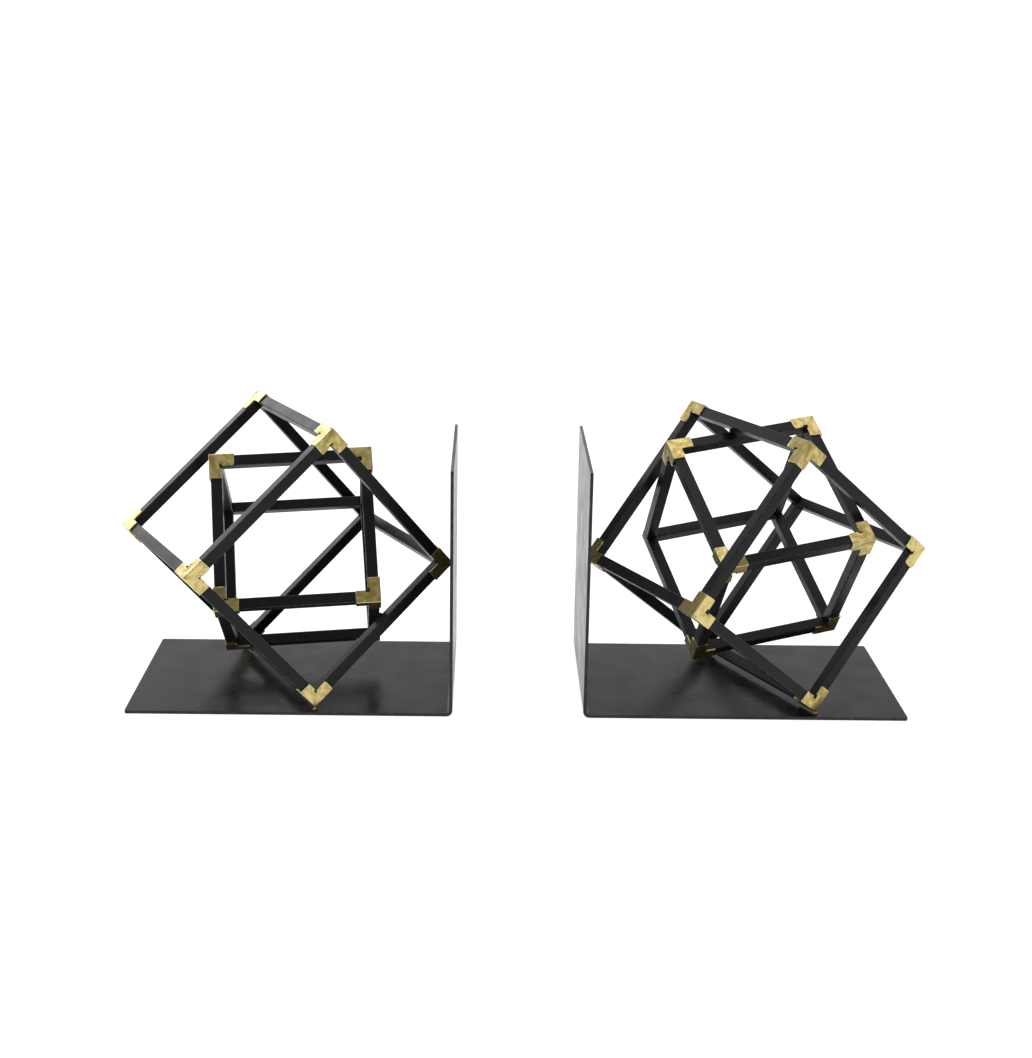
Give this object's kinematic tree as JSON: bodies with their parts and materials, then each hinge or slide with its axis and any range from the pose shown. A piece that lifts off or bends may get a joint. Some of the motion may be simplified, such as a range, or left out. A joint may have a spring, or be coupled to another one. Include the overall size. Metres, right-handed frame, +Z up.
{
  "type": "book ends",
  "caption": "Book ends of bent sheet metal, each carrying interlocked open cubes of black square bar with folded brass corner caps.",
  "frame": {"origin": "on the table, under the middle of the pair's bounding box, between the two uprights", "axes": "+X along the row of books towards the right book end, +Y away from the viewer, +Z up"},
  "size_m": [0.4152, 0.1605, 0.1456],
  "materials": {
    "plate_coat": "matt black powder coat with a fine grain",
    "bar_coat": "satin black coat",
    "brass_cap": "brushed, satin, worn bright at the folds"
  },
  "bodies": {
    "left_book_end": {"left_inner_cube_cap_1": "brass_cap", "left_inner_cube_cap_2": "brass_cap", "left_inner_cube_cap_3": "brass_cap", "left_inner_cube_cap_5": "brass_cap", "left_inner_cube_cap_6": "brass_cap", "left_inner_cube_cap_7": "brass_cap", "left_inner_cube_post_1": "bar_coat", "left_inner_cube_post_2": "bar_coat", "left_inner_cube_post_3": "bar_coat", "left_inner_cube_post_4": "bar_coat", "left_inner_cube_square_1": "bar_coat", "left_inner_cube_square_2": "bar_coat", "left_outer_cube_cap_1": "brass_cap", "left_outer_cube_cap_2": "brass_cap", "left_outer_cube_cap_3": "brass_cap", "left_outer_cube_cap_4": "brass_cap", "left_outer_cube_cap_5": "brass_cap", "left_outer_cube_cap_6": "brass_cap", "left_outer_cube_cap_8": "brass_cap", "left_outer_cube_post_1": "bar_coat", "left_outer_cube_post_2": "bar_coat", "left_outer_cube_post_3": "bar_coat", "left_outer_cube_post_4": "bar_coat", "left_outer_cube_square_1": "bar_coat", "left_outer_cube_square_2": "bar_coat", "left_plate": "plate_coat"},
    "right_book_end": {"right_inner_cube_cap_1": "brass_cap", "right_inner_cube_cap_2": "brass_cap", "right_inner_cube_cap_4": "brass_cap", "right_inner_cube_cap_5": "brass_cap", "right_inner_cube_cap_6": "brass_cap", "right_inner_cube_cap_8": "brass_cap", "right_inner_cube_post_1": "bar_coat", "right_inner_cube_post_2": "bar_coat", "right_inner_cube_post_3": "bar_coat", "right_inner_cube_post_4": "bar_coat", "right_inner_cube_square_1": "bar_coat", "right_inner_cube_square_2": "bar_coat", "right_outer_cube_cap_1": "brass_cap", "right_outer_cube_cap_2": "brass_cap", "right_outer_cube_cap_3": "brass_cap", "right_outer_cube_cap_4": "brass_cap", "right_outer_cube_cap_5": "brass_cap", "right_outer_cube_cap_6": "brass_cap", "right_outer_cube_cap_7": "brass_cap", "right_outer_cube_post_1": "bar_coat", "right_outer_cube_post_2": "bar_coat", "right_outer_cube_post_3": "bar_coat", "right_outer_cube_post_4": "bar_coat", "right_outer_cube_square_1": "bar_coat", "right_outer_cube_square_2": "bar_coat", "right_plate": "plate_coat"}
  },
  "joints": [
    {"name": "spacing_slide", "type": "slide", "parent": "left_book_end", "child": "right_book_end", "axis": [1, 0, 0], "range_m": [-0.06, 0.3]}
  ]
}
